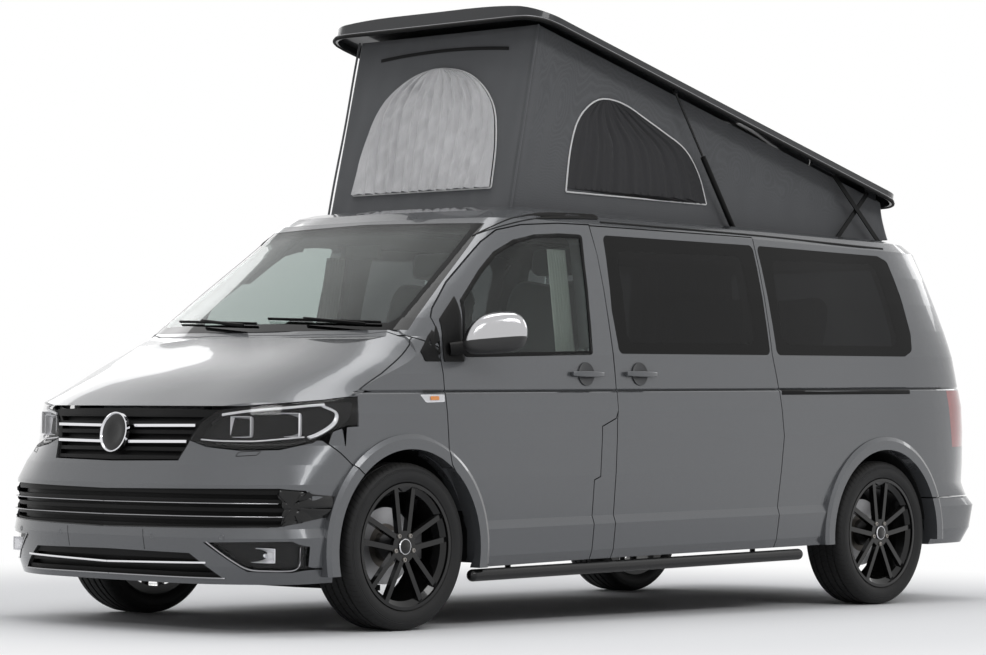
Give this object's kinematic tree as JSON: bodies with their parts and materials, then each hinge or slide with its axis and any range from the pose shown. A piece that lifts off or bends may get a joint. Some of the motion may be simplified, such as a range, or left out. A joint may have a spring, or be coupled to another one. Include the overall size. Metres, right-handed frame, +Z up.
{
  "type": "camper van",
  "caption": "Long-wheelbase camper van with a rear-hinged lifting roof raised over a fabric tent, sliding side door, side bars and black double-spoke wheels.",
  "frame": {"origin": "on the road, under the middle of the van's bounding box", "axes": "+X to the front of the van, +Y to its left, +Z up"},
  "size_m": [5.3039, 2.3094, 2.8249],
  "materials": {
    "body_paint": "metallic gloss",
    "clear_glass": "gloss",
    "dark_glass": "gloss",
    "black_trim": "satin",
    "lamp_lens": "gloss",
    "red_lens": "gloss",
    "bright_trim": "polished",
    "roof_shell": "gloss",
    "canvas": "woven",
    "strut_steel": "satin",
    "seat_cloth": "woven",
    "furniture": "laminate",
    "cabin_plastic": "matt",
    "underbody": "satin",
    "cast_metal": "rough",
    "pipe_steel": "satin",
    "tyre_rubber": "matt",
    "wheel_black": "gloss black"
  },
  "bodies": {
    "van": {"body_side_left": "body_paint", "body_side_right": "body_paint", "sliding_door": "body_paint", "front_wings": "body_paint", "front_bumper": "body_paint", "roof_panel": "body_paint", "rear_bumper": "body_paint", "windscreen": "clear_glass", "sliding_door_glass": "dark_glass", "side_glass": "dark_glass", "upper_grille": "black_trim", "bumper_grilles": "black_trim", "front_lamps": "lamp_lens", "tail_lamps": "red_lens", "side_bars": "bright_trim", "tent": "canvas", "front_seats": "seat_cloth", "rear_bench": "seat_cloth", "kitchen_unit": "furniture", "dashboard": "cabin_plastic", "steering_wheel": "cabin_plastic", "scuttle": "underbody", "floor_pan": "underbody", "nose_carrier": "underbody", "front_subframe": "underbody", "rear_axle": "underbody", "engine": "cast_metal", "exhaust": "pipe_steel"},
    "left_door": {"door_left": "body_paint", "door_glass_left": "clear_glass", "mirror_left": "black_trim"},
    "right_door": {"door_right": "body_paint", "door_glass_right": "clear_glass", "mirror_right": "black_trim"},
    "bonnet_lid": {"bonnet": "body_paint"},
    "tail_door": {"tailgate": "body_paint", "tailgate_glass": "dark_glass"},
    "lifting_roof": {"pop_top": "roof_shell"},
    "strut_cylinders": {"strut_tubes": "strut_steel"},
    "strut_pistons": {"strut_rods": "strut_steel"},
    "rear_links": {"links_rear": "strut_steel"},
    "front_links": {"links_front": "strut_steel"},
    "left_knuckle": {"knuckle_left": "cast_metal"},
    "right_knuckle": {"knuckle_right": "cast_metal"},
    "front_left_wheel": {"wheel_front_left": "wheel_black", "tyre_front_left": "tyre_rubber"},
    "front_right_wheel": {"wheel_front_right": "wheel_black", "tyre_front_right": "tyre_rubber"},
    "rear_left_wheel": {"wheel_rear_left": "wheel_black", "tyre_rear_left": "tyre_rubber"},
    "rear_right_wheel": {"wheel_rear_right": "wheel_black", "tyre_rear_right": "tyre_rubber"}
  },
  "joints": [
    {"name": "door_left_open", "type": "hinge", "parent": "van", "child": "left_door", "pos_m": [1.56, 0.943, 1], "axis": [0, 0, -1], "range_deg": [0, 65]},
    {"name": "door_right_open", "type": "hinge", "parent": "van", "child": "right_door", "pos_m": [1.56, -0.943, 1], "axis": [0, 0, 1], "range_deg": [0, 65]},
    {"name": "bonnet_open", "type": "hinge", "parent": "van", "child": "bonnet_lid", "pos_m": [1.664, 0, 1.28], "axis": [0, -1, 0], "range_deg": [0, 50]},
    {"name": "tailgate_open", "type": "hinge", "parent": "van", "child": "tail_door", "pos_m": [-2.2, 0, 1.86], "axis": [0, 1, 0], "range_deg": [0, 88]},
    {"name": "roof_lift", "type": "hinge", "parent": "van", "child": "lifting_roof", "pos_m": [-2.882, 0, 2.1523], "axis": [0, 1, 0], "range_deg": [0, 13.2], "deforming": ["tent"]},
    {"name": "strut_tilt", "type": "hinge", "parent": "van", "child": "strut_cylinders", "pos_m": [-0.8094, 0.64, 1.8427], "axis": [0, 1, 0], "range_deg": [0, 47.2]},
    {"name": "strut_slide", "type": "slide", "parent": "strut_cylinders", "child": "strut_pistons", "axis": [0.5799, 0, 0.8147], "range_m": [-0.326, 0]},
    {"name": "rear_link_tilt", "type": "hinge", "parent": "van", "child": "rear_links", "pos_m": [-1.9986, 0.646, 1.8324], "axis": [0, 1, 0], "range_deg": [0, 34.6]},
    {"name": "front_link_tilt", "type": "hinge", "parent": "van", "child": "front_links", "pos_m": [-1.6254, 0.634, 1.836], "axis": [0, 1, 0], "range_deg": [-39.5, 0]},
    {"name": "steer_left", "type": "hinge", "parent": "van", "child": "left_knuckle", "pos_m": [1.744, 0.735, 0.19], "axis": [0, -0.188, 0.9822], "range_deg": [-33, 33]},
    {"name": "steer_right", "type": "hinge", "parent": "van", "child": "right_knuckle", "pos_m": [1.744, -0.735, 0.19], "axis": [0, 0.188, 0.9822], "range_deg": [-33, 33]},
    {"name": "front_left_roll", "type": "hinge", "parent": "left_knuckle", "child": "front_left_wheel", "pos_m": [1.744, 0.814, 0.36], "axis": [0, 1, 0], "continuous": true},
    {"name": "front_right_roll", "type": "hinge", "parent": "right_knuckle", "child": "front_right_wheel", "pos_m": [1.744, -0.814, 0.36], "axis": [0, 1, 0], "continuous": true},
    {"name": "rear_left_roll", "type": "hinge", "parent": "van", "child": "rear_left_wheel", "pos_m": [-1.656, 0.814, 0.36], "axis": [0, 1, 0], "continuous": true},
    {"name": "rear_right_roll", "type": "hinge", "parent": "van", "child": "rear_right_wheel", "pos_m": [-1.656, -0.814, 0.36], "axis": [0, 1, 0], "continuous": true}
  ],
  "couplings": [
    {"joint": "strut_tilt", "follows": "roof_lift", "ratio": 3.5397},
    {"joint": "strut_slide", "follows": "roof_lift", "m_per_rad": -1.3947},
    {"joint": "rear_link_tilt", "follows": "roof_lift", "ratio": 2.585},
    {"joint": "front_link_tilt", "follows": "roof_lift", "ratio": -2.9527},
    {"joint": "steer_right", "follows": "steer_left", "ratio": 1}
  ]
}
